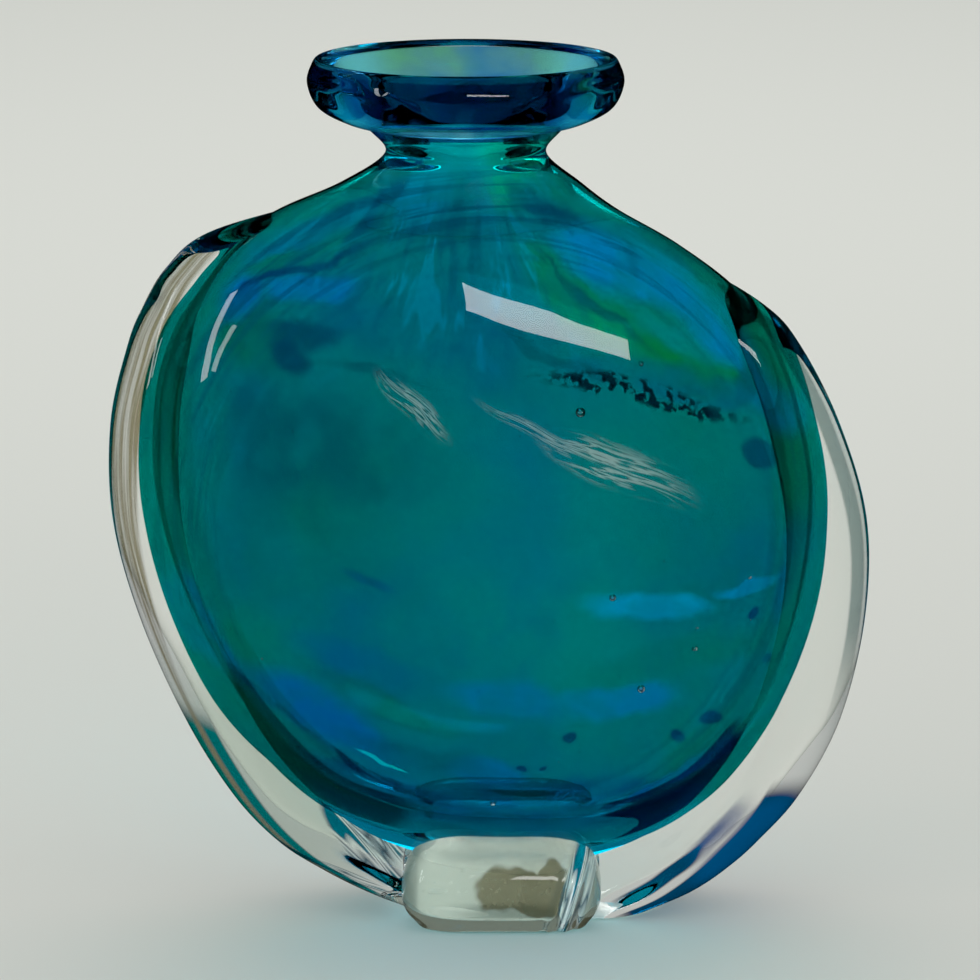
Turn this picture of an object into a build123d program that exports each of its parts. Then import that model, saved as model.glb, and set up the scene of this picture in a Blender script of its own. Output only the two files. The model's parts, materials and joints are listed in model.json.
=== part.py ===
"""Hand blown disc-shaped glass vase: a coloured bubble cased in clear glass, with a rolled lip,
two clear straps down its edges and two clear feet. Millimetres, +Z up, front towards -Y.

Every piece is a bit of glass that fuses to its neighbours face to face, so each one is cut back
by the piece that it was laid over.
"""
import os
from collections import namedtuple

from build123d import *

# ---- driving dimensions ----
neck_x = -6.2            # the neck and lip stand a little to the left of the body's middle
lip_base_z = 205.0       # where the lip ring is joined to the neck
lip_crest_z = 222.5
lip_radius = 40.4
lip_crest_radius = 37.6
lip_joint_radius = 25.3
funnel_radius = 15.5     # the mouth's radius at the joint between neck and lip

casing_bottom_z = 8.0    # lowest point of the clear gather
core_bottom_z = 15.5     # lowest point of the coloured bubble
cavity_bottom_z = 20.5   # lowest point of the hollow

side_casing = 4.0        # clear glass over the bubble, at its edge
face_casing = 3.2        # clear glass over the bubble, front and back
neck_casing = 6.0        # clear glass over the neck
core_wall = 2.2          # coloured glass around the hollow

strap_split_x = 8.0      # the two straps meet under the bubble at this plane
big = 400.0

# A level section: its height, its left and right ends in x, and its half depth in y.
Level = namedtuple("Level", "z left right depth")

# The outside of the clear gather, from its round bottom to the top of the neck.
casing_levels = [
    Level(casing_bottom_z, -6.0, 27.0, 8.0),
    Level(11.0, -24.0, 41.0, 14.5),
    Level(18.0, -43.5, 54.5, 21.5),
    Level(30.0, -58.5, 67.5, 27.5),
    Level(50.0, -73.0, 79.5, 32.5),
    Level(77.0, -84.5, 87.0, 35.5),
    Level(103.0, -90.5, 88.0, 36.5),
    Level(128.0, -90.5, 82.5, 35.5),
    Level(148.0, -86.0, 74.0, 33.0),
    Level(162.0, -79.0, 64.0, 30.0),
    Level(174.0, -69.0, 48.5, 26.5),
    Level(183.0, -54.5, 33.0, 23.5),
    Level(190.0, -38.5, 23.5, 21.5),
    Level(198.0, neck_x - 20.6, neck_x + 20.6, 20.4),
    Level(lip_base_z, neck_x - lip_joint_radius, neck_x + lip_joint_radius, lip_joint_radius),
]

# The outside of the straps, as one band around the edge of the disc, before it is split in two.
# It sinks into the gather at its right tip first, and at its left tip higher up.
band_levels = [
    Level(0.0, -22.0, 44.0, 17.5),
    Level(5.0, -34.5, 55.0, 18.5),
    Level(11.0, -46.0, 63.5, 19.0),
    Level(18.0, -56.5, 71.0, 19.0),
    Level(30.0, -67.5, 81.2, 19.0),
    Level(50.0, -79.5, 91.4, 19.0),
    Level(77.0, -91.0, 97.4, 19.0),
    Level(103.0, -97.6, 97.4, 18.5),
    Level(128.0, -97.8, 90.0, 17.5),
    Level(148.0, -93.2, 79.8, 15.5),
    Level(158.0, -89.2, 71.0, 13.0),
    Level(168.0, -83.2, 54.0, 11.0),
    Level(177.0, -72.5, 30.0, 9.5),
    Level(185.0, -46.0, 10.0, 8.5),
]

# The front foot before it is cut back: a soft block, widest a little above the ground.
foot_levels = [
    Level(0.0, -19.0, 25.5, 30.0),
    Level(5.0, -22.5, 28.5, 32.2),
    Level(13.0, -22.5, 28.5, 32.0),
    Level(20.0, -19.5, 26.0, 28.6),
    Level(25.0, -13.0, 20.0, 24.2),
]
foot_inner_y = 6.0       # the soft block reaches this deep before it is cut back
back_foot_scale = 0.94   # the back foot is a slightly smaller bit of glass


def loft_levels(levels):
    """A smooth solid through level ellipses."""
    sections = []
    for level in levels:
        half_width = (level.right - level.left) / 2
        middle = (level.left + level.right) / 2
        sections.append(Pos(middle, 0, level.z) * Ellipse(half_width, level.depth))
    return loft(sections)


def loft_band(levels):
    """A smooth solid through level slots: flat front and back, round at both edges."""
    sections = []
    for level in levels:
        middle = (level.left + level.right) / 2
        sections.append(Pos(middle, 0, level.z) * SlotOverall(level.right - level.left, 2 * level.depth))
    return loft(sections)


def sink(levels, bottom_z, side, face, neck):
    """The same levels moved inwards by a wall: thicker at the neck, with a raised bottom."""
    lowest = levels[0].z
    highest = levels[-1].z
    inner = []
    for level in levels:
        share = (level.z - lowest) / (highest - lowest)
        z = bottom_z + share * (highest - bottom_z)
        toward_neck = max(0.0, (level.z - levels[-5].z) / (highest - levels[-5].z))
        side_wall = side + (neck - side) * toward_neck
        face_wall = face + (neck - face) * toward_neck
        inner.append(Level(z, level.left + side_wall, level.right - side_wall, level.depth - face_wall))
    return inner


def lip_ring():
    """The rolled lip, turned about the neck's axis: a round outer roll and a funnel inside."""
    outer = Spline(
        (lip_joint_radius, lip_base_z),
        (lip_joint_radius + 6.0, lip_base_z + 1.6),
        (lip_radius - 2.6, lip_base_z + 5.2),
        (lip_radius, lip_base_z + 11.5),
        (lip_crest_radius, lip_crest_z),
        tangents=[(1, 0.1), (-1, 0.05)],
    )
    funnel = Spline(
        (lip_crest_radius, lip_crest_z),
        (lip_crest_radius - 4.0, lip_crest_z - 2.2),
        (funnel_radius + 7.5, lip_base_z + 7.5),
        (funnel_radius, lip_base_z),
        tangents=[(-1, 0.05), (-0.5, -1)],
    )
    joint = Line((funnel_radius, lip_base_z), (lip_joint_radius, lip_base_z))
    profile = Pos(neck_x, 0, 0) * (Plane.XZ * make_face(outer + funnel + joint))
    return revolve(profile, Axis((neck_x, 0, 0), (0, 0, 1)))


def foot_block():
    """The front foot's soft block, reaching back into the body."""
    sections = []
    for level in foot_levels:
        width = level.right - level.left
        length = level.depth + foot_inner_y
        corner = 0.32 * min(width, length)
        middle = (level.left + level.right) / 2
        place = Pos(middle, foot_inner_y - length / 2, level.z)
        sections.append(place * RectangleRounded(width, length, corner))
    return loft(sections)


core_levels = sink(casing_levels, core_bottom_z, side_casing, face_casing, neck_casing)
cavity_levels = sink(core_levels, cavity_bottom_z, core_wall, core_wall,
                     lip_joint_radius - neck_casing - funnel_radius)

casing_filled = loft_levels(casing_levels)
core_filled = loft_levels(core_levels)
cavity = loft_levels(cavity_levels)
band = loft_band(band_levels) - casing_filled
front_block = foot_block()
back_block = mirror(scale(front_block, by=(1, back_foot_scale, back_foot_scale)), about=Plane.XZ)

left_side = Pos(strap_split_x - big / 2, 0, 0) * Box(big, big, 2 * big)
right_side = Pos(strap_split_x + big / 2, 0, 0) * Box(big, big, 2 * big)

pieces = {
    "colour_core": core_filled - cavity,
    "clear_casing": casing_filled - core_filled,
    "lip_ring": lip_ring(),
    "strap_left": band & left_side,
    "strap_right": band & right_side,
    "foot_front": front_block - casing_filled - band,
    "foot_back": back_block - casing_filled - band,
}

os.makedirs("parts", exist_ok=True)
for name, piece in pieces.items():
    box = piece.bounding_box()
    print(name, [round(v, 2) for v in (*box.min, *box.max)], len(piece.solids()))
    export_step(piece, f"parts/{name}.step")
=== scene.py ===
"""Hand blown disc-shaped glass vase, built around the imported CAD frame.

Every clear piece is a closed mesh. Where two pieces are fused, the faces that touch carry a plain
see-through material, so that light crosses the joint as it does in one body of glass.
Lengths are written in millimetres and multiplied by MM.
"""
import json
import math
import random
from collections import namedtuple

import bmesh
import bpy
import numpy as np
from mathutils import Matrix, Quaternion, Vector

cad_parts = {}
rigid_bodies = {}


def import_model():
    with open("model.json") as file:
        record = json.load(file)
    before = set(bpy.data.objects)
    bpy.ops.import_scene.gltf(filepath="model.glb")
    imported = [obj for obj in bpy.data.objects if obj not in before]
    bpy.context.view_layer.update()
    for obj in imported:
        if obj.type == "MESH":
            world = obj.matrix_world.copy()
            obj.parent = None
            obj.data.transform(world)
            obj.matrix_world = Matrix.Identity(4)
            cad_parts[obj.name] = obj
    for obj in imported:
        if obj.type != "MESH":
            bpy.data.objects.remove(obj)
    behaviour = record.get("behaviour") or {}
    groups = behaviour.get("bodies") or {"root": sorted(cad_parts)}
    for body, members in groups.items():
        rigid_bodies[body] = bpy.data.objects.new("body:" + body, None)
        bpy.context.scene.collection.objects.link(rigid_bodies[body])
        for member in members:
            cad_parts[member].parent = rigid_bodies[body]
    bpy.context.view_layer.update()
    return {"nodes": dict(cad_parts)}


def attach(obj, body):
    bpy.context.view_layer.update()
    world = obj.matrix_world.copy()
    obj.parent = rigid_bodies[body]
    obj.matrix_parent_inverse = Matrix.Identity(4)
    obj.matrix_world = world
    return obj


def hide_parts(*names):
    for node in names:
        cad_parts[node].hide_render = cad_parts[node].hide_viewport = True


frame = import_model()

MM = 0.001
SEGMENTS = 240           # around each level ring
STEPS = 11               # rings between two levels

NECK_X = -6.2
LIP_BASE_Z = 205.0
LIP_CREST_Z = 222.4
LIP_RADIUS = 40.4
LIP_CREST_RADIUS = 37.6
LIP_JOINT_RADIUS = 25.3
FUNNEL_RADIUS = 15.5

CASING_BOTTOM_Z = 8.0
CORE_BOTTOM_Z = 15.5
CAVITY_BOTTOM_Z = 20.5
SIDE_CASING = 4.0
FACE_CASING = 3.2
NECK_CASING = 6.0
CORE_WALL = 2.2
SEAM = 0.12              # hair gap between the coloured bubble and the clear glass around it
STRAP_SPLIT_X = 8.0
POLE_DROP = 0.3

Level = namedtuple("Level", "z left right depth")

CASING_LEVELS = [
    Level(CASING_BOTTOM_Z, -6.0, 27.0, 8.0),
    Level(11.0, -24.0, 41.0, 14.5),
    Level(18.0, -43.5, 54.5, 21.5),
    Level(30.0, -58.5, 67.5, 27.5),
    Level(50.0, -73.0, 79.5, 32.5),
    Level(77.0, -84.5, 87.0, 35.5),
    Level(103.0, -90.5, 88.0, 36.5),
    Level(128.0, -90.5, 82.5, 35.5),
    Level(148.0, -86.0, 74.0, 33.0),
    Level(162.0, -79.0, 64.0, 30.0),
    Level(174.0, -69.0, 48.5, 26.5),
    Level(183.0, -54.5, 33.0, 23.5),
    Level(190.0, -38.5, 23.5, 21.5),
    Level(198.0, NECK_X - 20.6, NECK_X + 20.6, 20.4),
    Level(LIP_BASE_Z, NECK_X - LIP_JOINT_RADIUS, NECK_X + LIP_JOINT_RADIUS, LIP_JOINT_RADIUS),
]

BAND_LEVELS = [
    Level(0.0, -22.0, 44.0, 17.5),
    Level(5.0, -34.5, 55.0, 18.5),
    Level(11.0, -46.0, 63.5, 19.0),
    Level(18.0, -56.5, 71.0, 19.0),
    Level(30.0, -67.5, 81.2, 19.0),
    Level(50.0, -79.5, 91.4, 19.0),
    Level(77.0, -91.0, 97.4, 19.0),
    Level(103.0, -97.6, 97.4, 18.5),
    Level(128.0, -97.8, 90.0, 17.5),
    Level(148.0, -93.2, 79.8, 15.5),
    Level(158.0, -89.2, 71.0, 13.0),
    Level(168.0, -83.2, 54.0, 11.0),
    Level(177.0, -72.5, 30.0, 9.5),
    Level(185.0, -46.0, 10.0, 8.5),
]

FOOT_LEVELS = [
    Level(0.0, -19.0, 25.5, 30.0),
    Level(5.0, -22.5, 28.5, 32.2),
    Level(13.0, -22.5, 28.5, 32.0),
    Level(20.0, -19.5, 26.0, 28.6),
    Level(25.0, -13.0, 20.0, 24.2),
]
FOOT_INNER_Y = 6.0
BACK_FOOT_SCALE = 0.94
FOLD_X = 23.0            # the glass folded where the foot's right end was pressed against the strap
FOLD_SLANT = 0.30
FOLD_PITCH = 4.6
FOLD_DEPTH = 0.7

MERGE_DISTANCE = 2e-6    # points closer than this (m) are one point
SHARP_ANGLE = math.radians(32)
BASE_LAYER = 0.3         # faces that look down and lie lower than this belong to the ground base

# Material slots, the same on every mesh, so that a face keeps its meaning through the cuts.
CASING, STRAP, FOOT, FUSED, CORE_SKIN, CAVITY, LIP, LIP_SKIN, BASE = range(9)


# ------------------------------------------------------------------ mesh helpers

def curve_through(points, steps, before=None):
    """Points on a smooth curve (Catmull-Rom) through the given ones, in any number of dimensions.

    before is a point ahead of the first, that the curve comes from but doesn't reach.
    """
    p = np.array(points, float)
    first = 2 * p[0] - p[1] if before is None else np.array(before, float)
    last = 2 * p[-1] - p[-2]
    p = np.vstack([first, p, last])
    out = []
    for i in range(1, len(p) - 2):
        a, b, c, d = p[i - 1], p[i], p[i + 1], p[i + 2]
        for k in range(steps):
            t = k / steps
            out.append(0.5 * (2 * b + (c - a) * t + (2 * a - 5 * b + 4 * c - d) * t ** 2
                              + (3 * b - a - 3 * c + d) * t ** 3))
    out.append(p[-2])
    return np.array(out)


def oval_rings(levels):
    """Rings of an oval body through its levels, the lowest of which is its pole."""
    angle = np.linspace(0, 2 * np.pi, SEGMENTS, endpoint=False)
    low = levels[1]
    rings = []
    for z, left, right, depth in curve_through(levels, STEPS, (low.z, low.right, low.left, -low.depth)):
        x = (left + right) / 2 + (right - left) / 2 * np.cos(angle)
        rings.append(np.stack([x, depth * np.sin(angle), np.full_like(x, z)], 1))
    return np.array(rings)


def slot_rings(levels):
    """Rings with flat front and back and round ends."""
    quarter = SEGMENTS // 4
    turn = np.linspace(-np.pi / 2, np.pi / 2, quarter, endpoint=False)
    run = np.linspace(0, 1, quarter, endpoint=False)
    rings = []
    for z, left, right, depth in curve_through(levels, STEPS):
        xl, xr = left + depth, right - depth
        x = np.concatenate([xr + depth * np.cos(turn), xr + (xl - xr) * run,
                            xl - depth * np.cos(turn), xl + (xr - xl) * run])
        y = np.concatenate([depth * np.sin(turn), np.full(quarter, depth),
                            -depth * np.sin(turn), np.full(quarter, -depth)])
        rings.append(np.stack([x, y, np.full_like(x, z)], 1))
    return np.array(rings)


def block_rings(levels, inner_y):
    """Rings of a soft rounded block whose back stops at inner_y."""
    angle = np.linspace(0, 2 * np.pi, SEGMENTS, endpoint=False)
    power = 2 / 4.2
    cx = np.sign(np.cos(angle)) * np.abs(np.cos(angle)) ** power
    cy = np.sign(np.sin(angle)) * np.abs(np.sin(angle)) ** power
    rings = []
    for z, left, right, depth in curve_through(levels, STEPS):
        middle = (left + right) / 2
        half = (depth + inner_y) / 2
        x = middle + (right - left) / 2 * cx
        y = inner_y - half + half * cy
        along = x - (FOLD_X + FOLD_SLANT * (z - 13.0))
        fold = FOLD_DEPTH * np.cos(2 * np.pi * along / FOLD_PITCH) * np.exp(-(along / FOLD_PITCH) ** 2)
        y = np.where(y < 0, y - fold, y)
        rings.append(np.stack([x, y, np.full_like(cx, z)], 1))
    return np.array(rings)


def ring_faces(count, segments):
    faces = []
    for i in range(count - 1):
        for j in range(segments):
            k = (j + 1) % segments
            a = i * segments
            b = a + segments
            faces.append((a + j, a + k, b + k, b + j))
    return faces


def solid_from_rings(name, rings, slot):
    """A closed mesh through the rings, with a fan at each end."""
    count, segments, _ = rings.shape
    verts = [tuple(v) for v in rings.reshape(-1, 3) * MM]
    bottom = len(verts)
    verts.append(tuple(rings[0].mean(0) * MM))
    verts.append(tuple(rings[-1].mean(0) * MM))
    faces = ring_faces(count, segments)
    last = (count - 1) * segments
    for j in range(segments):
        k = (j + 1) % segments
        faces.append((k, j, bottom))
        faces.append((last + j, last + k, bottom + 1))
    return new_object(name, verts, faces, [slot] * len(faces))


def new_object(name, verts, faces, slots):
    mesh = bpy.data.meshes.new(name)
    mesh.from_pydata(verts, [], faces)
    for material in materials:
        mesh.materials.append(material)
    mesh.polygons.foreach_set("material_index", slots)
    mesh.polygons.foreach_set("use_smooth", [True] * len(faces))
    mesh.update()
    obj = bpy.data.objects.new(name, mesh)
    bpy.context.scene.collection.objects.link(obj)
    return obj


def cut(target, tool, operation):
    """target with tool taken away, added or met, as a new mesh; every face keeps its slot."""
    modifier = target.modifiers.new("cut", "BOOLEAN")
    modifier.solver = "MANIFOLD"
    modifier.operation = operation
    modifier.object = tool
    bpy.context.view_layer.update()
    shape = target.evaluated_get(bpy.context.evaluated_depsgraph_get())
    mesh = bpy.data.meshes.new_from_object(shape)
    target.modifiers.remove(modifier)
    obj = bpy.data.objects.new(target.name + "_cut", mesh)
    bpy.context.scene.collection.objects.link(obj)
    return obj


def faces_of(obj, keep=None, change=None):
    """(verts, faces, slots) of an object's faces whose slot keep allows, with slots changed."""
    mesh = obj.data
    verts = np.empty(len(mesh.vertices) * 3)
    mesh.vertices.foreach_get("co", verts)
    faces, slots = [], []
    for polygon in mesh.polygons:
        slot = polygon.material_index
        if keep is None or slot in keep:
            faces.append(tuple(polygon.vertices))
            slots.append(change.get(slot, slot) if change else slot)
    return verts.reshape(-1, 3), faces, slots


def join(name, parts):
    """One object from several (verts, faces, slots), with meeting points merged."""
    verts, faces, slots = [], [], []
    for v, f, s in parts:
        start = len(verts)
        verts.extend(map(tuple, v))
        faces.extend(tuple(start + i for i in face) for face in f)
        slots.extend(s)
    obj = new_object(name, verts, faces, slots)
    bm = bmesh.new()
    bm.from_mesh(obj.data)
    bmesh.ops.remove_doubles(bm, verts=bm.verts, dist=MERGE_DISTANCE)
    bmesh.ops.dissolve_degenerate(bm, edges=bm.edges, dist=1e-7)
    loose = [v for v in bm.verts if not v.link_faces]
    bmesh.ops.delete(bm, geom=loose, context="VERTS")
    bm.to_mesh(obj.data)
    bm.free()
    return obj


def imprint(target, tool, tool_slots):
    """target, uncut in shape, whose faces inside tool are marked as fused."""
    outside = cut(target, tool, "DIFFERENCE")
    inside = cut(target, tool, "INTERSECT")
    own = set(range(len(materials))) - set(tool_slots)
    fused = {slot: FUSED for slot in own}
    return join(target.name, [faces_of(outside, own), faces_of(inside, own, fused)])


def open_edges(obj):
    bm = bmesh.new()
    bm.from_mesh(obj.data)
    count = sum(1 for e in bm.edges if len(e.link_faces) != 2)
    bm.free()
    return count


# ------------------------------------------------------------------ materials

GLASS_INDEX = 1.5
EDGE_BLUR = 1.2          # how softly the colour at a strap's edge ends (mm)


def node_tree(name):
    material = bpy.data.materials.new(name)
    material.use_nodes = True
    tree = material.node_tree
    tree.nodes.clear()
    output = tree.nodes.new("ShaderNodeOutputMaterial")
    return material, tree, output


def add(tree, kind, **inputs):
    """A node of that kind with its sockets set: a value by name, or a link from another socket."""
    n = tree.nodes.new(kind)
    for name, value in inputs.items():
        socket = n.inputs[name.replace("_", " ")]
        if isinstance(value, bpy.types.NodeSocket):
            tree.links.new(value, socket)
        else:
            socket.default_value = value
    return n


def let_lamps_through(tree, output, shader, tint):
    """Shadow rays pass the glass with a tint, so that it throws a soft clear shadow."""
    path = tree.nodes.new("ShaderNodeLightPath")
    open_shader = add(tree, "ShaderNodeBsdfTransparent", Color=tint)
    mix = tree.nodes.new("ShaderNodeMixShader")
    tree.links.new(path.outputs["Is Shadow Ray"], mix.inputs[0])
    tree.links.new(shader, mix.inputs[1])
    tree.links.new(open_shader.outputs[0], mix.inputs[2])
    tree.links.new(mix.outputs[0], output.inputs["Surface"])


def painted_fold_light(tree, place, patch, under):
    """The colour under it with a fold's painted light over it: bright stripes of painted highlight and teal
    and navy stripes of painted shade, along the patch.
    """
    along = scaled(tree, patch_place(tree, place, patch), (0.3, 1.0, 1.25))
    grain = add(tree, "ShaderNodeTexNoise", Vector=along, Scale=1.0, Detail=1.0, Distortion=0.3)
    stripes = ramp(tree, grain.outputs[0], [
        (0.34, (0.0, 0.01, 0.05)), (0.42, (0.0, 0.06, 0.10)), (0.47, (0.85, 1.0, 1.0)),
        (0.52, (0.0, 0.03, 0.06)), (0.58, (0.9, 1.0, 1.0)), (0.63, (0.0, 0.05, 0.11))])
    return mix_colour(tree, patch_mask(tree, place, patch), under, stripes)


def stored_inset(tree):
    """How far inside its piece's outline a point lies, as mark_inset stored it."""
    attribute = tree.nodes.new("ShaderNodeAttribute")
    attribute.attribute_name = "inset"
    return attribute.outputs["Fac"]


def line_inside(tree, inset, middle, half, blur):
    """1 on a line that follows the outline, half wide to each side of its middle, and 0 beside it."""
    off = math_node(tree, "ABSOLUTE", math_node(tree, "SUBTRACT", inset, middle))
    return map_range(tree, math_node(tree, "SUBTRACT", off, half), blur, -blur)


def edge_shade_and_lines(tree, place, tinted, edges):
    """The tint with the straps' edge marks over it: patches of painted shade, olive lines at the left, and a
    grey line of painted shade at the right.
    """
    inset = stored_inset(tree)
    # dark patches of painted shade along the straps' outer edges
    for patch, reach in edges:
        mask = multiply(tree, patch_mask(tree, place, patch), patch.strength)
        near = map_range(tree, inset, reach * MM, (reach - EDGE_BLUR) * MM)
        tinted = mix_colour(tree, multiply(tree, mask, near), tinted, patch.colour)
    separate = add(tree, "ShaderNodeSeparateXYZ", Vector=place)
    x, z = separate.outputs["X"], separate.outputs["Z"]

    drawn = tree.nodes.new("ShaderNodeCombineXYZ")
    tree.links.new(multiply(tree, inset, 900.0), drawn.inputs[0])
    tree.links.new(multiply(tree, z, 18.0), drawn.inputs[1])
    grain = add(tree, "ShaderNodeTexNoise", Vector=drawn.outputs[0], Scale=1.0, Detail=3.0)
    lined = map_range(tree, grain.outputs[0], 0.35, 0.6, 0.55, 1.0)
    half = map_range(tree, z, 0.050, 0.130, 0.0008, 0.0042)
    olive = multiply(tree, line_inside(tree, inset, 0.0044, half, 0.0006), map_range(tree, x, -0.02, -0.04))
    tinted = mix_colour(tree, multiply(tree, olive, lined), tinted, OLIVE_BAND)

    # a grey line of painted shade inside the right strap's outline
    side = multiply(tree, map_range(tree, x, 0.02, 0.04), map_range(tree, z, 0.040, 0.080))
    grey = multiply(tree, line_inside(tree, inset, 0.0036, 0.0019, 0.0005), side)
    return mix_colour(tree, grey, tinted, GREY_BAND)


def clear_glass(name, colour, shadow, patches=(), edges=(), fold_light=(), calm_above=None):
    """Clear glass with a tint; above the height calm_above (mm) it hardly mirrors the lamps."""
    material, tree, output = node_tree(name)
    place = tree.nodes.new("ShaderNodeTexCoord").outputs["Object"]
    if patches or edges or fold_light:
        flowing = warped(tree, place, 110.0, 0.011)
        colour = colour[:3]
        for patch in patches:
            mask = multiply(tree, patch_mask(tree, flowing, patch), patch.strength)
            colour = mix_colour(tree, mask, colour, patch.colour)
        # the folds' painted highlights and shade over the tint
        for patch in fold_light:
            colour = painted_fold_light(tree, place, patch, colour)
        if edges:
            colour = edge_shade_and_lines(tree, place, colour, edges)
    ripple = add(tree, "ShaderNodeTexNoise", Vector=place, Scale=38.0, Detail=1.0)
    bump = add(tree, "ShaderNodeBump", Strength=0.12, Distance=0.0006, Height=ripple.outputs[0])
    glass = add(tree, "ShaderNodeBsdfPrincipled", Base_Color=colour, Roughness=0.0, IOR=GLASS_INDEX,
                Transmission_Weight=1.0, Normal=bump.outputs[0])
    if calm_above:
        height = add(tree, "ShaderNodeSeparateXYZ", Vector=place).outputs["Z"]
        calm = map_range(tree, height, calm_above * MM, (calm_above + 6) * MM, 1.0, 0.01)
        tree.links.new(calm, glass.inputs["Specular Tint"])
    let_lamps_through(tree, output, glass.outputs[0], shadow)
    return material


def joint_material():
    material, tree, output = node_tree("fused_joint")
    clear = add(tree, "ShaderNodeBsdfTransparent", Color=(1, 1, 1, 1))
    tree.links.new(clear.outputs[0], output.inputs["Surface"])
    return material


def ground_glass():
    """The flat base, ground and worn: it scatters most of the light that reaches it."""
    material, tree, output = node_tree("ground_base")
    place = tree.nodes.new("ShaderNodeTexCoord").outputs["Object"]
    wear = add(tree, "ShaderNodeTexNoise", Vector=place, Scale=55.0, Detail=3.0)
    colour = ramp(tree, wear.outputs[0], [(0.40, (0.50, 0.56, 0.50)), (0.60, (0.68, 0.74, 0.68))])
    matt = add(tree, "ShaderNodeBsdfPrincipled", Base_Color=colour, Roughness=0.7)
    glass = add(tree, "ShaderNodeBsdfPrincipled", Base_Color=colour, Roughness=0.3, IOR=GLASS_INDEX,
                Transmission_Weight=1.0)
    mix = tree.nodes.new("ShaderNodeMixShader")
    mix.inputs[0].default_value = 0.35
    tree.links.new(matt.outputs[0], mix.inputs[1])
    tree.links.new(glass.outputs[0], mix.inputs[2])
    let_lamps_through(tree, output, mix.outputs[0], (0.9, 0.93, 0.9, 1))
    return material


def air_material():
    """Air inside glass: the glass's refraction turned inside out."""
    material, tree, output = node_tree("air_bubble")
    air = add(tree, "ShaderNodeBsdfPrincipled", Base_Color=(1, 1, 1, 1), Roughness=0.0, IOR=1 / GLASS_INDEX,
              Transmission_Weight=1.0)
    let_lamps_through(tree, output, air.outputs[0], (1, 1, 1, 1))
    return material


def ramp(tree, factor, stops):
    n = tree.nodes.new("ShaderNodeValToRGB")
    tree.links.new(factor, n.inputs[0])
    elements = n.color_ramp.elements
    while len(elements) < len(stops):
        elements.new(0.5)
    for element, (position, colour) in zip(elements, stops):
        element.position = position
        element.color = (*colour, 1)
    return n.outputs["Color"]


# Coloured streaks and patches in the front wall of the bubble, with a few painted glints and a painted
# reflection among them: centre x and z, half length, half width (mm), tilt (degrees, downwards to the right),
# softness, strength, and the light it passes.
Patch = namedtuple("Patch", "x z length width tilt soft strength colour")
PALE_TEAL = (0.01, 0.47, 0.41)
TEAL = (0.0, 0.37, 0.38)
DARK_TEAL = (0.0, 0.18, 0.23)
BLUE = (0.0, 0.27, 0.68)
BRIGHT_BLUE = (0.0, 0.42, 0.92)
PALE_BLUE = (0.0, 0.60, 0.92)
DEEP_BLUE = (0.0, 0.15, 0.33)
NAVY = (0.0, 0.085, 0.25)
GREEN = (0.0, 0.42, 0.20)
DARK_GREEN = (0.0, 0.25, 0.14)
OLIVE = (0.07, 0.36, 0.02)

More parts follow.
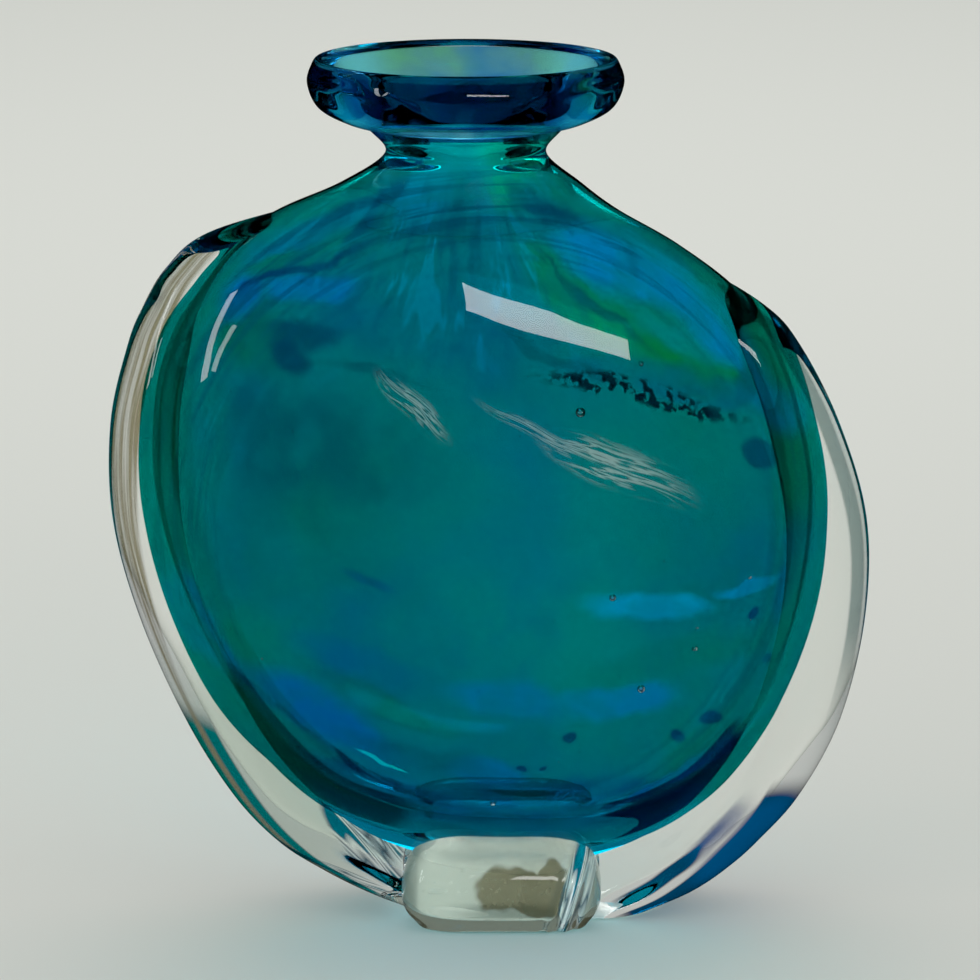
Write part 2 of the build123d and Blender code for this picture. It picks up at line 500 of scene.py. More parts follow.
PATCHES = [
    # broad clouds
    Patch(13, 92, 32, 34, 0, 0.6, 0.8, PALE_TEAL),
    Patch(2, 116, 17, 20, 0, 0.7, 0.7, TEAL),
    Patch(-46, 124, 29, 16, 4, 0.6, 0.85, DARK_TEAL),
    Patch(-50, 98, 26, 12, 0, 0.5, 0.5, (0.0, 0.26, 0.27)),
    Patch(-20, 158, 26, 9, 8, 0.5, 0.8, (0.0, 0.28, 0.38)),
    Patch(-76, 118, 8, 40, 0, 0.6, 0.6, (0.0, 0.36, 0.30)),
    Patch(76, 118, 5, 28, 8, 0.5, 0.7, (0.0, 0.36, 0.24)),
    Patch(55, 100, 18, 30, 0, 0.7, 0.6, (0.0, 0.34, 0.30)),
    Patch(-8, 181, 12, 15, 0, 0.6, 0.6, (0.0, 0.26, 0.36)),
    # upper right: blue over green over olive
    Patch(5, 186, 9, 13, 12, 0.4, 0.8, (0.0, 0.40, 0.62)),
    Patch(20, 168, 17, 5.0, 38, 0.35, 0.9, GREEN),
    Patch(42, 153, 18, 6.0, 30, 0.35, 0.9, GREEN),
    Patch(59, 145, 11, 6.0, 30, 0.4, 0.85, (0.0, 0.40, 0.24)),
    Patch(50, 153, 12, 3.0, 22, 0.4, 0.8, (0.0, 0.46, 0.52)),
    Patch(35, 170.5, 21, 5.6, 27, 0.22, 0.95, BRIGHT_BLUE),
    Patch(57, 157, 17, 4.8, 44, 0.22, 0.95, BRIGHT_BLUE),
    Patch(71, 142, 13, 4.0, 62, 0.22, 0.95, BRIGHT_BLUE),
    Patch(44.5, 151, 8, 2.4, 35, 0.4, 0.85, OLIVE),
    Patch(56, 143.5, 9, 3.4, 8, 0.4, 0.85, OLIVE),
    Patch(54, 141.5, 4, 1.2, 0, 0.4, 0.8, DARK_GREEN),
    Patch(66, 143, 2.8, 5.4, 6, 0.3, 0.85, DARK_TEAL),
    Patch(45, 144, 27, 4.6, 14, 0.25, 0.75, (0.0, 0.25, 0.40)),
    Patch(27, 164, 19, 0.9, 40, 0.4, 0.8, DARK_TEAL),
    Patch(18, 152, 22, 1.6, 30, 0.5, 0.6, DARK_TEAL),
    # upper left shoulder
    Patch(-60, 152, 10, 9, 40, 0.5, 0.8, DARK_GREEN),
    Patch(-61, 163.5, 7, 5, -20, 0.3, 0.9, BLUE),
    Patch(-43, 168, 10, 3.6, -15, 0.3, 0.9, (0.0, 0.38, 0.75)),
    Patch(-54, 172, 10, 3.4, -25, 0.4, 0.8, (0.0, 0.36, 0.24)),
    # painted reflection: the band that the clear casing mirrors along the left shoulder, painted in blue
    Patch(-45, 180, 22, 2.2, -25, 0.4, 0.8, (0.02, 0.34, 0.60)),
    Patch(-48, 171, 21, 0.9, -25, 0.4, 0.9, NAVY),
    Patch(-27, 189, 14, 1.1, -52, 0.4, 0.9, DEEP_BLUE),
    Patch(-47, 154, 9, 4.0, -15, 0.3, 0.85, (0.0, 0.12, 0.20)),
    Patch(-50, 148, 4.5, 5.0, 30, 0.35, 0.85, (0.0, 0.10, 0.20)),
    Patch(-30, 146, 12, 1.2, 12, 0.5, 0.7, DARK_TEAL),
    # neck
    Patch(-18, 200, 9, 15, 0, 0.4, 1.0, (0.0, 0.60, 0.94)),
    Patch(7.5, 202, 7, 15, 6, 0.35, 1.0, (0.03, 0.74, 0.34)),
    Patch(14, 187, 9, 2.4, 36, 0.3, 0.95, NAVY),
    Patch(-21, 193, 2.6, 4.5, 20, 0.35, 0.8, DEEP_BLUE),
    # lower left
    Patch(-72, 80, 18, 5.0, 55, 0.3, 0.9, BLUE),
    Patch(-42, 56.5, 19, 6.6, 33, 0.28, 0.9, (0.0, 0.24, 0.62)),
    Patch(-30, 73, 15, 5.0, 14, 0.4, 0.75, (0.0, 0.27, 0.42)),
    Patch(-28, 63, 17, 3.2, 24, 0.4, 0.8, (0.0, 0.29, 0.22)),
    Patch(-57, 62, 24, 0.9, 44, 0.4, 0.7, DEEP_BLUE),
    Patch(-31, 96, 5.0, 1.2, 20, 0.4, 0.6, DEEP_BLUE),
    # painted glints: two bright cyan streaks where light is mirrored inside the glass
    Patch(-31, 45, 4.6, 0.7, 22, 0.3, 1.0, (0.10, 0.98, 1.0)),
    Patch(-25.5, 43, 2.6, 0.5, 24, 0.3, 1.0, (0.10, 1.0, 0.85)),
    # bottom
    Patch(2, 63, 16, 5.0, 18, 0.28, 0.9, (0.0, 0.33, 0.62)),
    Patch(-4, 42.5, 11, 3.6, 8, 0.28, 0.9, (0.0, 0.30, 0.60)),
    Patch(17, 36, 36, 5.2, -3, 0.4, 0.85, (0.0, 0.17, 0.38)),
    Patch(10, 38.5, 14, 0.9, 2, 0.4, 0.8, (0.0, 0.30, 0.58)),
    Patch(-20, 47, 16, 4, 14, 0.5, 0.7, (0.0, 0.22, 0.26)),
    Patch(-26, 35, 24, 3.0, 20, 0.35, 0.8, DEEP_BLUE),
    Patch(8, 28.0, 28, 3.4, -2, 0.35, 0.9, (0.0, 0.22, 0.55)),
    # lower right
    Patch(38, 84.5, 14, 3.4, 8, 0.25, 0.95, PALE_BLUE),
    Patch(62.5, 87, 7.5, 1.8, -8, 0.3, 0.9, (0.0, 0.52, 0.86)),
    Patch(33, 61.5, 16, 4.4, -4, 0.28, 0.9, (0.0, 0.38, 0.76)),
    Patch(48, 72, 22, 4.0, -6, 0.5, 0.7, (0.0, 0.36, 0.26)),
    Patch(74, 92, 3.5, 14, 10, 0.4, 0.7, (0.0, 0.22, 0.50)),
    Patch(52, 45, 22, 1.4, -34, 0.4, 0.8, BLUE),
    # small dark drops
    Patch(69, 124.3, 3.4, 3.4, 0, 0.25, 0.85, (0.0, 0.12, 0.22)),
    Patch(18.3, 53.2, 2.1, 1.5, 0, 0.25, 0.85, NAVY),
    Patch(64.5, 79.9, 1.9, 1.4, -30, 0.25, 0.85, NAVY),
    Patch(68.3, 69.9, 1.7, 0.9, -30, 0.25, 0.85, NAVY),
    Patch(58.4, 58.3, 2.6, 1.8, 0, 0.25, 0.9, NAVY),
    Patch(50.0, 53.5, 2.0, 1.4, 0, 0.25, 0.9, NAVY),
    Patch(5.6, 44.6, 1.4, 0.8, 0, 0.25, 0.85, NAVY),
    Patch(11.7, 44.8, 1.6, 0.5, -30, 0.25, 0.8, NAVY),
    Patch(30.6, 33.2, 2.2, 1.4, 0, 0.3, 0.8, NAVY),
]
FRONT_CLOUD = [(0.30, (0.0, 0.24, 0.40)), (0.44, (0.0, 0.33, 0.38)), (0.56, (0.0, 0.37, 0.35)),
               (0.70, (0.0, 0.36, 0.26))]
BACK_CLOUD = [(0.30, (0.002, 0.50, 0.78)), (0.44, (0.002, 0.60, 0.70)), (0.56, (0.004, 0.64, 0.68)),
              (0.70, (0.002, 0.62, 0.56))]
DROP_LENGTH = 6          # patches up to this half length (mm) keep a plain colour and their own softness
BODY_MIDDLE_Z = 104.0    # fine streaks run round this height, near the disc's edge
SHADOW_PALENESS = 0.45   # the coloured wall's shadow is paler than the wall, as glass gathers light
STREAK_TOP_Z = 212.0     # the drawn streaks fan out from this height, on the neck's axis
SPECKS = Patch(39.5, 141.0, 26, 3.3, 16, 0.25, 1.0, (0.0, 0.03, 0.05))
# painted reflections: fine white threads where the bubble's inner wall mirrors the window lamp
REFLECTION_WISPS = [Patch(31, 121.5, 17, 4.6, 28, 0.5, 0.5, None), Patch(14, 131, 17, 1.6, 30, 0.5, 0.4, None),
         Patch(-19, 138, 10, 2.2, 42, 0.5, 0.4, None)]      # white, whatever the patch

# Painted shade at the straps' outer edges, where the clear glass shows dark by refraction: a patch, and how
# far in from the outline it reaches (mm, as the front view sees it).
STRAP_EDGES = [
    (Patch(-56, 25, 40, 14, 44, 0.15, 1.0, (0.0, 0.085, 0.095)), 9.5),
    (Patch(-66, 36, 18, 12, 50, 0.3, 0.8, (0.0, 0.10, 0.06)), 4.0),
    (Patch(58, 15, 30, 13, -36, 0.15, 1.0, (0.0, 0.008, 0.05)), 13.0),
    (Patch(66, 20, 16, 7, -40, 0.3, 0.8, (0.0, 0.02, 0.16)), 14.0),
]
STRAP_PATCHES = [Patch(-56, 36, 38, 15, 48, 0.5, 0.9, (0.66, 0.76, 0.68))]     # greyer at the lower left
# Folds in the clear glass, with their light and shade painted as bright and dark stripes along the patch.
STRAP_FOLD_LIGHT = [Patch(-33, 21.5, 16, 5.0, 50, 0.12, 1.0, None)]
FOOT_FOLD_LIGHT = [Patch(22.8, 12.5, 14, 3.6, 107, 0.12, 1.0, None)]
OLIVE_BAND = (0.15, 0.122, 0.055)
# the colour of the grey line of painted shade along the right strap's edge
GREY_BAND = (0.15, 0.22, 0.215)
FOOT_PATCHES = [     # dull blotches inside the front foot
    Patch(8, 10.5, 12, 5.5, 14, 0.14, 1.0, (0.055, 0.05, 0.024)),
    Patch(15.5, 14.5, 4, 5, 0, 0.16, 1.0, (0.055, 0.05, 0.024)),
]


def warped(tree, place, scale, amount):
    """The place pushed about by a smooth noise, so that patches get flowing edges."""
    flow = add(tree, "ShaderNodeTexNoise", Vector=place, Scale=scale, Detail=2.0)
    centred = tree.nodes.new("ShaderNodeVectorMath")
    centred.operation = "SUBTRACT"
    tree.links.new(flow.outputs["Color"], centred.inputs[0])
    centred.inputs[1].default_value = (0.5, 0.5, 0.5)
    moved = tree.nodes.new("ShaderNodeVectorMath")
    moved.operation = "MULTIPLY_ADD"
    tree.links.new(centred.outputs[0], moved.inputs[0])
    moved.inputs[1].default_value = (amount, amount, amount)
    tree.links.new(place, moved.inputs[2])
    return moved.outputs[0]


def map_range(tree, value, low, high, to_low=0.0, to_high=1.0):
    n = add(tree, "ShaderNodeMapRange", Value=value, From_Min=low, From_Max=high, To_Min=to_low,
            To_Max=to_high)
    n.interpolation_type = "SMOOTHSTEP"
    return n.outputs[0]


def math_node(tree, operation, *values):
    n = tree.nodes.new("ShaderNodeMath")
    n.operation = operation
    for socket, value in zip(n.inputs, values):
        if isinstance(value, bpy.types.NodeSocket):
            tree.links.new(value, socket)
        else:
            socket.default_value = value
    return n.outputs[0]


def multiply(tree, first, second):
    return math_node(tree, "MULTIPLY", first, second)


def scaled(tree, vector, factors):
    n = tree.nodes.new("ShaderNodeVectorMath")
    n.operation = "MULTIPLY"
    tree.links.new(vector, n.inputs[0])
    n.inputs[1].default_value = factors
    return n.outputs[0]


def value_node(tree, value):
    n = tree.nodes.new("ShaderNodeValue")
    n.outputs[0].default_value = value
    return n.outputs[0]


def patch_place(tree, place, patch):
    """The place as the patch sees it: 1 at its ends along and across, whatever the depth in y."""
    mapping = tree.nodes.new("ShaderNodeMapping")
    mapping.vector_type = "TEXTURE"
    tree.links.new(place, mapping.inputs["Vector"])
    mapping.inputs["Location"].default_value = (patch.x * MM, 0, patch.z * MM)
    mapping.inputs["Rotation"].default_value = (0, math.radians(patch.tilt), 0)
    mapping.inputs["Scale"].default_value = (patch.length * MM, 100, patch.width * MM)
    return mapping.outputs[0]


def patch_mask(tree, place, patch):
    """1 inside the patch's tilted ellipse, 0 outside."""
    length = tree.nodes.new("ShaderNodeVectorMath")
    length.operation = "LENGTH"
    tree.links.new(patch_place(tree, place, patch), length.inputs[0])
    return map_range(tree, length.outputs["Value"], 1 + patch.soft, 1 - patch.soft)


def mix_colour(tree, factor, under, over):
    n = tree.nodes.new("ShaderNodeMix")
    n.data_type = "RGBA"
    tree.links.new(factor, n.inputs["Factor"])
    for socket, value in ((n.inputs[6], under), (n.inputs[7], over)):
        if isinstance(value, bpy.types.NodeSocket):
            tree.links.new(value, socket)
        else:
            socket.default_value = (*value, 1)
    return n.outputs[2]


def drawn_streaks(tree, separate, centre_x, centre_z, along, across, seed):
    """Noise drawn out in polar coordinates: (its value, the distance from the centre)."""
    x = math_node(tree, "SUBTRACT", separate.outputs["X"], centre_x * MM)
    z = math_node(tree, "SUBTRACT", separate.outputs["Z"], centre_z * MM)
    reach = math_node(tree, "SQRT", math_node(tree, "ADD", multiply(tree, x, x), multiply(tree, z, z)))
    place = tree.nodes.new("ShaderNodeCombineXYZ")
    tree.links.new(multiply(tree, math_node(tree, "ARCTAN2", x, z), along), place.inputs[0])
    tree.links.new(multiply(tree, reach, across), place.inputs[1])
    place.inputs[2].default_value = seed
    grain = add(tree, "ShaderNodeTexNoise", Vector=place.outputs[0], Scale=1.0, Detail=4.0, Distortion=0.6)
    return grain.outputs[0], reach


def streaked(tree, colour, lines, where, *streaks):
    """The colour with streaks over it, each given as (noise where it starts, noise where it is full,
    strength, tint)."""
    for start, full, strength, tint in streaks:
        mask = multiply(tree, map_range(tree, lines, start, full), where)
        colour = mix_colour(tree, multiply(tree, mask, strength), colour, tint)
    return colour


def front_wall_colour(tree, flowing, separate, colour):
    """The cloudy colour with the drawn patches (painted glints and a painted reflection among them), dark
    specks and fine streaks over it.
    """
    brushed = add(tree, "ShaderNodeTexNoise", Vector=flowing, Scale=95.0, Detail=5.0)
    uneven = map_range(tree, brushed.outputs[0], 0.36, 0.60, 0.65, 1.0)
    for patch in PATCHES:
        if patch.length > DROP_LENGTH:
            patch = patch._replace(soft=min(0.7, patch.soft + 0.1))
            strength = multiply(tree, uneven, patch.strength)
        else:
            strength = patch.strength
        mask = multiply(tree, patch_mask(tree, flowing, patch), strength)
        colour = mix_colour(tree, mask, colour, patch.colour)
    grain = add(tree, "ShaderNodeTexNoise", Vector=flowing, Scale=330.0, Detail=3.0)
    dots = map_range(tree, grain.outputs[0], 0.46, 0.53)
    colour = mix_colour(tree, multiply(tree, patch_mask(tree, flowing, SPECKS), dots), colour, SPECKS.colour)
    lines, reach = drawn_streaks(tree, separate, NECK_X, STREAK_TOP_Z, 9.0, 50.0, 1.7)
    shoulder = multiply(tree, map_range(tree, reach, 0.085, 0.035), map_range(tree, reach, 0.012, 0.034))
    colour = streaked(tree, colour, lines, shoulder,
                      (0.50, 0.62, 0.6, (0.0, 0.17, 0.30)), (0.46, 0.36, 0.6, (0.0, 0.50, 0.72)))
    lines, reach = drawn_streaks(tree, separate, 0.0, BODY_MIDDLE_Z, 1.6, 420.0, 5.2)
    rim = map_range(tree, reach, 0.060, 0.086)
    return streaked(tree, colour, lines, rim,
                    (0.50, 0.60, 0.5, (0.0, 0.13, 0.26)), (0.46, 0.38, 0.4, (0.0, 0.42, 0.50)))


def reflection_wisp_mask(tree, place):
    """1 on the painted reflections, fine white threads drawn out along their patches."""
    reflection_wisp = None
    for patch in REFLECTION_WISPS:
        along = scaled(tree, patch_place(tree, place, patch), (0.8, 1.0, 2.6))
        threads = add(tree, "ShaderNodeTexNoise", Vector=along, Scale=1.0, Detail=4.0, Distortion=0.3)
        off = math_node(tree, "ABSOLUTE", math_node(tree, "SUBTRACT", threads.outputs[0], 0.5))
        fine = multiply(tree, map_range(tree, off, 0.08, 0.0), patch_mask(tree, place, patch))
        fine = multiply(tree, fine, patch.strength)
        reflection_wisp = fine if reflection_wisp is None else math_node(tree, "MAXIMUM", reflection_wisp, fine)
    return reflection_wisp


def coloured_glass():
    """The tint of the bubble's wall: cloudy teal, with the front wall's streaks over it, and fine white
    threads of painted reflection.
    """
    material, tree, output = node_tree("coloured_glass")
    place = tree.nodes.new("ShaderNodeTexCoord").outputs["Object"]
    slow = warped(tree, place, 17.0, 0.024)
    flowing = warped(tree, slow, 110.0, 0.0045)
    cloud = add(tree, "ShaderNodeTexNoise", Vector=slow, Scale=17.0, Detail=5.0).outputs[0]
    separate = add(tree, "ShaderNodeSeparateXYZ", Vector=place)
    front = map_range(tree, separate.outputs["Y"], 0.004, -0.004)
    front_colour = front_wall_colour(tree, flowing, separate, ramp(tree, cloud, FRONT_CLOUD))
    colour = mix_colour(tree, front, ramp(tree, cloud, BACK_CLOUD), front_colour)
    neck = multiply(tree, map_range(tree, separate.outputs["Z"], 0.186, 0.200), 0.45)
    colour = mix_colour(tree, neck, colour, (0.01, 0.86, 0.96))
    side = multiply(tree, map_range(tree, stored_inset(tree), 0.011, 0.006), 0.45)
    colour = mix_colour(tree, side, colour, (0.0, 0.50, 0.40))
    bottom = multiply(tree, map_range(tree, separate.outputs["Z"], 0.034, 0.026), 0.56)
    colour = mix_colour(tree, bottom, colour, (0.0, 0.60, 0.78))
    tint = add(tree, "ShaderNodeBsdfTransparent", Color=colour)
    # the matt white shader of the painted reflections
    white = add(tree, "ShaderNodeBsdfPrincipled", Base_Color=(0.85, 0.93, 0.90, 1), Roughness=0.6)
    mix = tree.nodes.new("ShaderNodeMixShader")
    tree.links.new(multiply(tree, reflection_wisp_mask(tree, slow), front), mix.inputs[0])
    tree.links.new(tint.outputs[0], mix.inputs[1])
    tree.links.new(white.outputs[0], mix.inputs[2])
    cast = mix_colour(tree, value_node(tree, SHADOW_PALENESS), colour, (1.0, 1.0, 1.0))
    let_lamps_through(tree, output, mix.outputs[0], cast)
    return material


def lip_colour_glass():
    """The colour inside the lip: deep blue with pale swirls, greener and paler at the back."""
    material, tree, output = node_tree("lip_colour")
    place = tree.nodes.new("ShaderNodeTexCoord").outputs["Object"]
    flowing = warped(tree, warped(tree, place, 30.0, 0.02), 90.0, 0.006)
    cloud = add(tree, "ShaderNodeTexNoise", Vector=flowing, Scale=42.0, Detail=3.0)
    blue = ramp(tree, cloud.outputs[0], [
        (0.34, (0.16, 0.62, 0.92)), (0.46, (0.26, 0.78, 0.98)), (0.56, (0.62, 0.95, 1.0))])
    pale = ramp(tree, cloud.outputs[0], [
        (0.36, (0.17, 0.47, 0.76)), (0.50, (0.34, 0.62, 0.70)), (0.64, (0.38, 0.72, 0.54))])
    separate = add(tree, "ShaderNodeSeparateXYZ", Vector=place)
    off = math_node(tree, "ABSOLUTE", math_node(tree, "SUBTRACT", separate.outputs["X"], NECK_X * MM))
    ends = map_range(tree, off, 0.016, 0.032)
    middle = ramp(tree, cloud.outputs[0], [
        (0.34, (0.10, 0.36, 0.60)), (0.46, (0.12, 0.42, 0.62)), (0.56, (0.34, 0.66, 0.78))])
    front = map_range(tree, separate.outputs["Y"], 0.016, -0.016)
    colour = mix_colour(tree, front, pale, mix_colour(tree, ends, middle, blue))
    colour = mix_colour(tree, multiply(tree, ends, 0.8), colour, (0.45, 0.93, 1.0))
    tint = add(tree, "ShaderNodeBsdfTransparent", Color=colour)
    tree.links.new(tint.outputs[0], output.inputs["Surface"])
    return material


materials = [
    clear_glass("casing_glass", (0.98, 0.995, 0.99, 1), (0.98, 0.99, 0.985, 1), calm_above=176.0),
    clear_glass("strap_glass", (0.99, 1.0, 0.97, 1), (0.97, 0.98, 0.97, 1), STRAP_PATCHES, STRAP_EDGES,
                fold_light=STRAP_FOLD_LIGHT),
    # the foot's dark grey tint is painted shade: its clear glass is darkened for the shaded ground it looks
    # onto
    clear_glass("foot_glass", (0.31, 0.36, 0.30, 1), (0.94, 0.96, 0.95, 1), FOOT_PATCHES,
                fold_light=FOOT_FOLD_LIGHT),
    joint_material(),
    coloured_glass(),
    clear_glass("cavity_glass", (1, 1, 1, 1), (0.95, 0.98, 0.98, 1)),
    clear_glass("lip_glass", (0.96, 0.99, 0.99, 1), (0.9, 0.95, 0.97, 1)),
    lip_colour_glass(),
    ground_glass(),
]


# ------------------------------------------------------------------ the glass

def sink(levels, bottom_z, side, face, neck):
    """The same levels moved inwards by a wall: thicker at the neck, with a raised bottom."""
    lowest, highest, shoulder = levels[0].z, levels[-1].z, levels[-5].z
    inner = []
    for level in levels:
        share = (level.z - lowest) / (highest - lowest)
        toward_neck = max(0.0, (level.z - shoulder) / (highest - shoulder))
        side_wall = side + (neck - side) * toward_neck
        face_wall = face + (neck - face) * toward_neck
        inner.append(Level(bottom_z + share * (highest - bottom_z), level.left + side_wall,
                           level.right - side_wall, level.depth - face_wall))
    return inner


def with_pole(levels):
    """Adds the lowest point, a little under the first level, so that the bottom closes round."""
    first = levels[0]
    middle = (first.left + first.right) / 2
    return [Level(first.z - POLE_DROP, middle, middle, 0.0)] + list(levels)


def round_bottom(levels):
    """Replaces the lowest, flat level by a narrow one and its pole, so that the bottom is a bowl."""
    first, second = levels[:2]
    middle = (second.left + second.right) / 2
    quarter = (second.right - second.left) / 4
    low = Level(0.75 * first.z + 0.25 * second.z, middle - quarter, middle + quarter, second.depth / 2)
    return [Level(first.z, middle, middle, 0.0), low] + list(levels[1:])


def shell(outer, inner, outer_slot, inner_slot, rim_slot):
    """(parts) of a pot-shaped solid between two sets of rings that share their top level."""
    def open_pot(rings, slot, turned):
        count, segments, _ = rings.shape
        verts = [tuple(v) for v in rings[1:].reshape(-1, 3) * MM]
        pole = len(verts)
        verts.append(tuple(rings[0][0] * MM))
        faces = ring_faces(count - 1, segments)
        faces += [((j + 1) % segments, j, pole) for j in range(segments)]
        if turned:
            faces = [face[::-1] for face in faces]
        return np.array(verts), faces, [slot] * len(faces)
    segments = outer.shape[1]
    rim = np.vstack([outer[-1], inner[-1]]) * MM
    rim_faces = [(j, (j + 1) % segments, segments + (j + 1) % segments, segments + j)
                 for j in range(segments)]
    return [open_pot(outer, outer_slot, False), open_pot(inner, inner_slot, True),
            (rim, rim_faces, [rim_slot] * segments)]


core_levels = sink(CASING_LEVELS, CORE_BOTTOM_Z, SIDE_CASING, FACE_CASING, NECK_CASING)
cavity_levels = sink(core_levels, CAVITY_BOTTOM_Z, CORE_WALL, CORE_WALL,
                     LIP_JOINT_RADIUS - NECK_CASING - FUNNEL_RADIUS)


def grown(rings, gap):
    """The rings moved outwards along the surface's normals."""
    along = np.gradient(rings, axis=0)
    around = (np.roll(rings, -1, axis=1) - np.roll(rings, 1, axis=1)) / 2
    normal = np.cross(around, along)
    length = np.linalg.norm(normal, axis=2, keepdims=True)
    normal = np.where(length > 1e-6, normal / np.maximum(length, 1e-6), (0, 0, -1))
    out = rings + normal * gap
    out[-1, :, 2] = rings[-1, :, 2]
    return out


casing_rings = oval_rings(with_pole(CASING_LEVELS))
core_rings = oval_rings(round_bottom(core_levels))
seat_rings = grown(core_rings, SEAM)
cavity_rings = oval_rings(round_bottom(cavity_levels))

casing_filled = solid_from_rings("casing_filled", casing_rings, CASING)
for polygon in casing_filled.data.polygons:
    if polygon.center.z > (LIP_BASE_Z - 0.01) * MM:
        polygon.material_index = LIP
band = solid_from_rings("band", slot_rings(BAND_LEVELS), STRAP)
foot = solid_from_rings("foot", block_rings(FOOT_LEVELS, FOOT_INNER_Y), FOOT)
back_rings = block_rings(FOOT_LEVELS, FOOT_INNER_Y) * np.array([1, -BACK_FOOT_SCALE, BACK_FOOT_SCALE])
foot_back = solid_from_rings("foot_back_block", back_rings[:, ::-1], FOOT)


def half_space(name, low_x, high_x):
    low, high = Vector((low_x, -150, -50)) * MM, Vector((high_x, 150, 300)) * MM
    corners = [(x, y, z) for x in (low.x, high.x) for y in (low.y, high.y) for z in (low.z, high.z)]
    faces = [(0, 1, 3, 2), (4, 6, 7, 5), (0, 4, 5, 1), (2, 3, 7, 6), (0, 2, 6, 4), (1, 5, 7, 3)]
    return new_object(name, corners, faces, [FUSED] * 6)


feet = cut(foot, foot_back, "UNION")
outside_glass = cut(band, feet, "UNION")
strap_ring = cut(band, casing_filled, "DIFFERENCE")
for polygon in strap_ring.data.polygons:
    if polygon.material_index != STRAP:
        polygon.material_index = FUSED


def strap(name, side):
    piece = cut(strap_ring, side, "INTERSECT")
    piece.name = name
    return imprint(piece, feet, {FOOT})


def foot_piece(name, block):
    piece = cut(cut(block, casing_filled, "DIFFERENCE"), strap_ring, "DIFFERENCE")
    for polygon in piece.data.polygons:
        if polygon.material_index != FOOT:
            polygon.material_index = FUSED
    piece.name = name
    return piece


def build_casing():
    covered = imprint(casing_filled, outside_glass, {STRAP, FOOT})
    outer = faces_of(covered, {CASING, FUSED})
    _, seat, rim = shell(casing_rings, seat_rings, CASING, FUSED, FUSED)
    return join("clear_casing", [outer, seat, rim])


left = half_space("left_half", -200, STRAP_SPLIT_X)
right = half_space("right_half", STRAP_SPLIT_X, 200)
pieces = {
    "clear_casing": build_casing(),
    "colour_core": join("colour_core", shell(core_rings, cavity_rings, CORE_SKIN, CAVITY, FUSED)),
    "strap_left": strap("strap_left", left),
    "strap_right": strap("strap_right", right),
    "foot_front": foot_piece("foot_front", foot),
    "foot_back": foot_piece("foot_back", foot_back),
}

for name in ("strap_left", "strap_right", "foot_front", "foot_back"):      # what stands on the ground
    for polygon in pieces[name].data.polygons:
        if polygon.center.z < BASE_LAYER * MM and polygon.normal.z < -0.9:
            polygon.material_index = BASE

LIP_PROFILE = [(LIP_JOINT_RADIUS, LIP_BASE_Z), (LIP_JOINT_RADIUS + 6.0, LIP_BASE_Z + 1.6),
               (LIP_RADIUS - 2.6, LIP_BASE_Z + 5.2), (LIP_RADIUS, LIP_BASE_Z + 11.0),
               (LIP_RADIUS - 1.0, LIP_CREST_Z - 2.0), (LIP_CREST_RADIUS, LIP_CREST_Z),
               (LIP_CREST_RADIUS - 4.0, LIP_CREST_Z - 2.2),
               (FUNNEL_RADIUS + 7.5, LIP_BASE_Z + 7.5), (FUNNEL_RADIUS, LIP_BASE_Z)]
LIP_COLOUR_PROFILE = [(LIP_JOINT_RADIUS - 3.4, LIP_BASE_Z + 0.3), (LIP_JOINT_RADIUS + 4.0, LIP_BASE_Z + 3.6),
                      (LIP_RADIUS - 5.2, LIP_BASE_Z + 7.0), (LIP_RADIUS - 2.4, LIP_BASE_Z + 11.4),
                      (LIP_RADIUS - 3.6, LIP_CREST_Z - 2.6), (LIP_CREST_RADIUS - 4.5, LIP_CREST_Z - 4.4),
                      (FUNNEL_RADIUS + 9.2, LIP_BASE_Z + 6.6), (FUNNEL_RADIUS + 1.6, LIP_BASE_Z + 0.3)]


def turned(name, profile, slot, base_slot):
    """A ring turned about the neck's axis from a profile of (radius, height), closed at its base."""
    line = curve_through(profile, 12)
    angle = np.linspace(0, 2 * np.pi, SEGMENTS, endpoint=False)
    rings = np.array([np.stack([NECK_X + r * np.cos(angle), r * np.sin(angle),
                                np.full_like(angle, z)], 1) for r, z in line])
    last = (len(rings) - 1) * SEGMENTS
    faces = ring_faces(len(rings), SEGMENTS)
    slots = [slot] * len(faces)
    for j in range(SEGMENTS):
        k = (j + 1) % SEGMENTS
        faces.append((last + j, last + k, k, j))
        slots.append(base_slot)
    return new_object(name, [tuple(v) for v in rings.reshape(-1, 3) * MM], faces, slots)


pieces["lip_colour"] = turned("lip_colour", LIP_COLOUR_PROFILE, LIP_SKIN, LIP_SKIN)
pieces["lip_ring"] = turned("lip_ring", LIP_PROFILE, LIP, FUSED)

BUBBLES = [(22.7, 136.5, 1.35), (31.0, 89.0, 0.95), (38.4, 64.5, 1.1), (52.0, 74.5, 0.8), (38.0, 148.0, 0.7),
           (0.8, 34.0, 0.8), (52.5, 80.0, 0.45), (44.0, 98.0, 0.35), (-58.0, 71.0, 0.4), (66.0, 92.0, 0.5)]
DUST = 70                # more, too small to tell apart


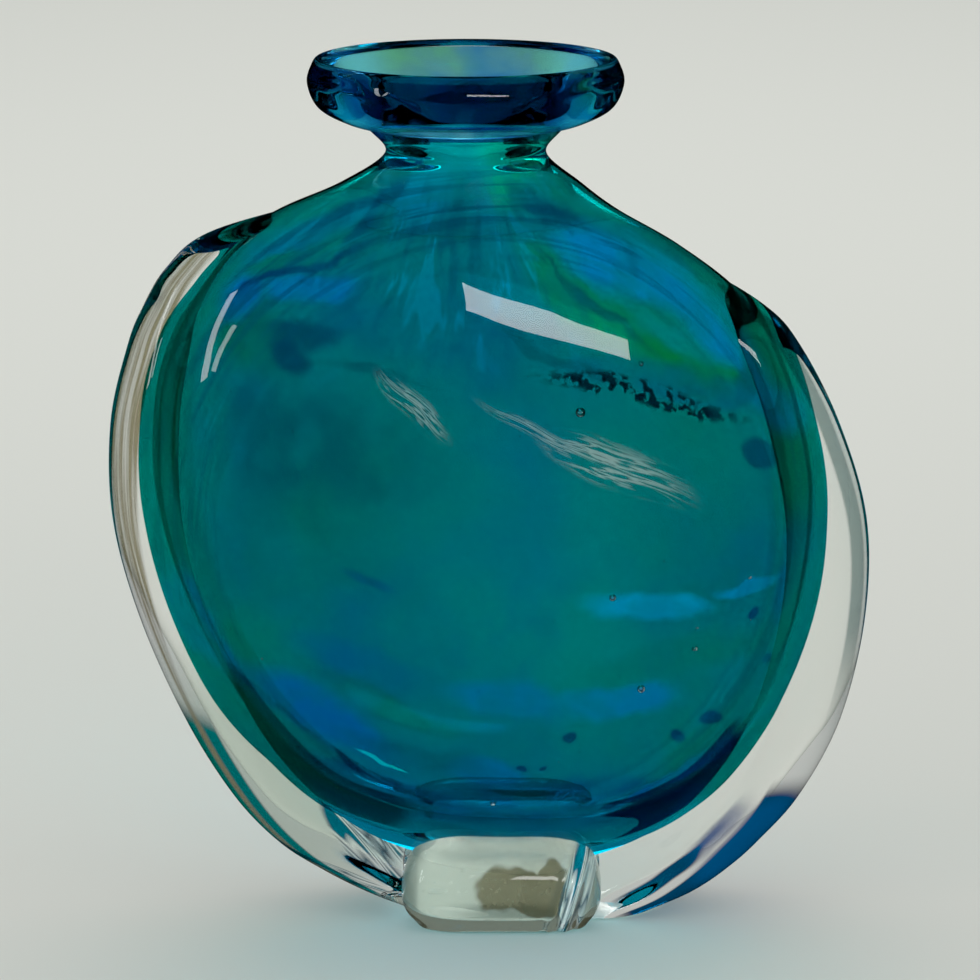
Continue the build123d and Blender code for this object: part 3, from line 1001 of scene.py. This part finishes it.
def air_bubbles():
    """Bubbles of air in the front of the clear gather, each a small sphere."""
    outline = curve_through(CASING_LEVELS, STEPS)
    chance = random.Random(11)
    spots = list(BUBBLES)
    while len(spots) < len(BUBBLES) + DUST:
        spots.append((chance.uniform(-80, 80), chance.uniform(35, 165), chance.uniform(0.10, 0.24)))
    bm = bmesh.new()
    for x, z, radius in spots:
        left, right, depth = (np.interp(z, outline[:, 0], outline[:, i]) for i in (1, 2, 3))
        across = (x - (left + right) / 2) / ((right - left) / 2)
        if abs(across) > 0.85:
            continue
        y = -depth * math.sqrt(1 - across ** 2) + max(1.5, radius + 0.25)
        place = Matrix.Translation(Vector((x, y, z)) * MM)
        bmesh.ops.create_icosphere(bm, subdivisions=2, radius=radius * MM, matrix=place)
    mesh = bpy.data.meshes.new("air_bubbles")
    bm.to_mesh(mesh)
    bm.free()
    mesh.polygons.foreach_set("use_smooth", [True] * len(mesh.polygons))
    mesh.materials.append(air_material())
    obj = bpy.data.objects.new("air_bubbles", mesh)
    bpy.context.scene.collection.objects.link(obj)
    return obj


pieces["air_bubbles"] = air_bubbles()

for scrap in (casing_filled, band, foot, foot_back, feet, outside_glass, strap_ring, left, right):
    bpy.data.objects.remove(scrap)
for obj in list(bpy.context.scene.collection.objects):
    if obj.type == "MESH" and obj not in pieces.values() and obj not in frame["nodes"].values():
        bpy.data.objects.remove(obj)


def mark_inset(obj, levels):
    """Stores how far each point lies inside the levels' outline, in metres, as the front view sees it."""
    outline = curve_through(levels, STEPS)
    points = np.empty(len(obj.data.vertices) * 3)
    obj.data.vertices.foreach_get("co", points)
    points = points.reshape(-1, 3) / MM
    left = points[:, 0] - np.interp(points[:, 2], outline[:, 0], outline[:, 1])
    right = np.interp(points[:, 2], outline[:, 0], outline[:, 2]) - points[:, 0]
    inset = obj.data.attributes.new("inset", "FLOAT", "POINT")
    inset.data.foreach_set("value", np.minimum(left, right) * MM)


mark_inset(pieces["strap_left"], BAND_LEVELS)
mark_inset(pieces["strap_right"], BAND_LEVELS)
mark_inset(pieces["colour_core"], core_levels)

INNER = ("lip_colour", "air_bubbles")      # what the CAD leaves out of its solids
for name, piece in pieces.items():
    piece.name = name if name in INNER else name + "_glass"
    if name != "air_bubbles":
        piece.data.set_sharp_from_angle(angle=SHARP_ANGLE)
    print(name, len(piece.data.polygons), "open edges", open_edges(piece))
    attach(piece, "root")
    if name not in INNER:
        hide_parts(name)


# ------------------------------------------------------------------ stage, light and camera

def stage_material(name, colour):
    material, tree, output = node_tree(name)
    paper = add(tree, "ShaderNodeBsdfPrincipled", Base_Color=colour, Roughness=0.8)
    tree.links.new(paper.outputs[0], output.inputs["Surface"])
    return material


FLOOR_SIZE = 8.0
FLOOR_GAP = 0.0004       # keeps the floor clear of the glass that stands on it


def plain_floor():
    """A wide pale floor, that the camera sees nothing beyond."""
    half = FLOOR_SIZE / 2
    corners = [(-half, -half), (half, -half), (half, half), (-half, half)]
    mesh = bpy.data.meshes.new("floor")
    mesh.from_pydata([(x, y, -FLOOR_GAP) for x, y in corners], [], [(0, 1, 2, 3)])
    mesh.materials.append(stage_material("floor_paper", (0.70, 0.71, 0.67, 1)))
    obj = bpy.data.objects.new("floor", mesh)
    bpy.context.scene.collection.objects.link(obj)
    obj.visible_glossy = False


def area_light(name, azimuth, elevation, distance, size, size_y, power, target=(0, 0, 0.13), roll=0.0):
    """A soft box seen from the target at that azimuth (0 is the front, positive to the right)."""
    a, e = math.radians(azimuth), math.radians(elevation)
    target = Vector(target)
    place = target + distance * Vector((math.sin(a) * math.cos(e), -math.cos(a) * math.cos(e),
                                        math.sin(e)))
    data = bpy.data.lights.new(name, "AREA")
    data.shape = "RECTANGLE"
    data.size, data.size_y = size, size_y
    data.energy = power
    obj = bpy.data.objects.new(name, data)
    obj.location = place
    turn = (target - place).to_track_quat("-Z", "Y")
    obj.rotation_euler = (turn @ Quaternion((0, 0, 1), math.radians(roll))).to_euler()
    bpy.context.scene.collection.objects.link(obj)
    return obj


plain_floor()
for lamp in (area_light("top_soft", 180, 74, 1.6, 1.3, 1.3, 10, target=(0, 0.45, 0.0)),
             area_light("far_wash", 180, 60, 2.2, 2.2, 0.8, 16, target=(0, 1.5, 0.0))):
    lamp.visible_glossy = False
area_light("window_right", 16.5, 20.5, 1.25, 0.66, 0.13, 2.1, roll=-11)
area_light("softbox_left", -67, 17, 1.2, 0.07, 0.46, 0.6, roll=16)
area_light("softbox_left_thin", -59, 14, 1.2, 0.05, 0.26, 0.2, roll=-10)

world = bpy.data.worlds.new("studio")
world.use_nodes = True
background = world.node_tree.nodes["Background"]
background.inputs["Color"].default_value = (0.80, 0.82, 0.80, 1)
background.inputs["Strength"].default_value = 0.65
world.cycles_visibility.glossy = False
bpy.context.scene.world = world

CAMERA_DISTANCE = 1.4
CAMERA_HEIGHT = 0.403
AIM_HEIGHT = 0.110
camera_data = bpy.data.cameras.new("camera")
camera_data.lens = 203.3
camera_data.sensor_width = 36.0
camera = bpy.data.objects.new("camera", camera_data)
camera.location = (0, -CAMERA_DISTANCE, CAMERA_HEIGHT)
camera.rotation_euler = (Vector((0, 0, AIM_HEIGHT)) - camera.location).to_track_quat("-Z", "Y").to_euler()
bpy.context.scene.collection.objects.link(camera)
bpy.context.scene.camera = camera

scene = bpy.context.scene
scene.view_settings.view_transform = "Standard"
scene.cycles.max_bounces = 32
scene.cycles.transmission_bounces = 24
scene.cycles.transparent_max_bounces = 64
scene.cycles.glossy_bounces = 8
